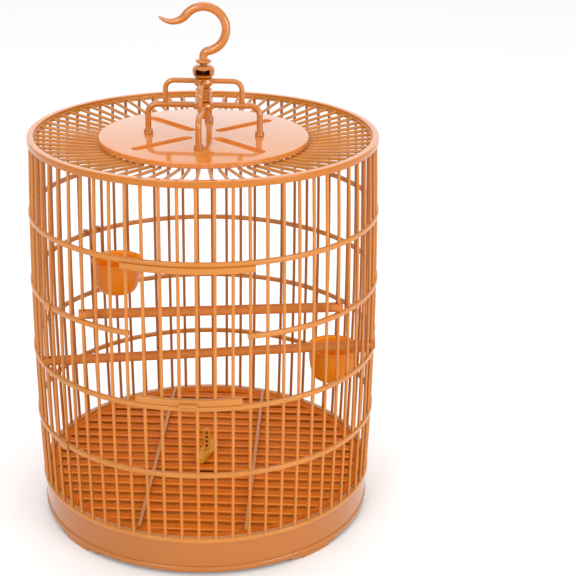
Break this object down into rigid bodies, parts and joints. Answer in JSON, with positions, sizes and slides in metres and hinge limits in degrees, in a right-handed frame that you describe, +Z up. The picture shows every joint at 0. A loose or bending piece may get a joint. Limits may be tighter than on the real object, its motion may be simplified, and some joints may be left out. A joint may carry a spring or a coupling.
{
  "type": "bird cage",
  "caption": "Round barred bird cage with a lifting door, slatted floor over a drop-out tray, feed cups, perches and a swivel hanging hook.",
  "frame": {"origin": "on the ground under the cage's axis, at the bottom of the feet", "axes": "+Z up along the cage's axis, -Y towards the door, +X to the right seen from the door"},
  "size_m": [0.3295, 0.3323, 0.4899],
  "materials": {
    "cage": "satin",
    "disc": "gloss",
    "skirt": "gloss",
    "floor": "satin",
    "tray": "gloss",
    "cup": "gloss",
    "perch": "matte",
    "latch": "gloss"
  },
  "bodies": {
    "cage": {"foot_front_right": "skirt", "foot_back_right": "skirt", "foot_back_left": "skirt", "foot_front_left": "skirt", "base_skirt": "skirt", "floor_grate": "floor", "floor_rib_left": "cage", "floor_rib_right": "cage", "wall_panel_1": "cage", "wall_panel_2": "cage", "wall_panel_3": "cage", "wall_panel_4": "cage", "wall_panel_5": "cage", "wall_panel_6": "cage", "wall_panel_7": "cage", "wall_panel_8": "cage", "wall_panel_9": "cage", "wall_panel_10": "cage", "wall_panel_11": "cage", "wall_panel_12": "cage", "front_lower_panel": "cage", "hoop_1": "cage", "hoop_2": "cage", "hoop_3": "cage", "hoop_4": "cage", "hoop_2_clip": "cage", "hoop_4_clip": "cage", "top_ring": "cage", "door_lintel": "cage", "roof_grille": "cage", "roof_disc": "disc", "yoke_lower_arms": "cage", "yoke_upper_arms": "cage", "yoke_socket_right": "cage", "yoke_socket_back": "cage", "yoke_socket_left": "cage", "yoke_socket_front": "cage", "yoke_spindle": "cage", "swivel_housing": "cage"},
    "hook": {"hook": "cage"},
    "door": {"door": "cage"},
    "floor_latch": {"latch_key": "latch", "latch_stem": "latch"},
    "tray": {"tray": "tray"},
    "cup_left": {"cup_left": "cup"},
    "cup_right": {"cup_right": "cup"},
    "perch_upper": {"perch_upper": "perch"},
    "perch_lower": {"perch_lower": "perch"}
  },
  "joints": [
    {"name": "hook_swivel", "type": "hinge", "parent": "cage", "child": "hook", "pos_m": [0, 0, 0.43], "axis": [0, 0, 1], "continuous": true},
    {"name": "door_slide", "type": "slide", "parent": "cage", "child": "door", "axis": [0, 0.0227, 0.9997], "range_m": [0, 0.112]},
    {"name": "floor_latch_turn", "type": "hinge", "parent": "cage", "child": "floor_latch", "pos_m": [0, 0, 0.04], "axis": [0, 0, 1], "range_deg": [0, 90]},
    {"name": "tray_drop", "type": "slide", "parent": "cage", "child": "tray", "axis": [0, 0, -1], "range_m": [0, 0.04]},
    {"name": "cup_left_lift", "type": "slide", "parent": "cage", "child": "cup_left", "axis": [0, 0, 1], "range_m": [0, 0.03]},
    {"name": "cup_right_lift", "type": "slide", "parent": "cage", "child": "cup_right", "axis": [0, 0, 1], "range_m": [0, 0.03]},
    {"name": "perch_upper_lift", "type": "slide", "parent": "cage", "child": "perch_upper", "axis": [0, 0, 1], "range_m": [0, 0.03]},
    {"name": "perch_lower_lift", "type": "slide", "parent": "cage", "child": "perch_lower", "axis": [0, 0, 1], "range_m": [0, 0.03]}
  ]
}
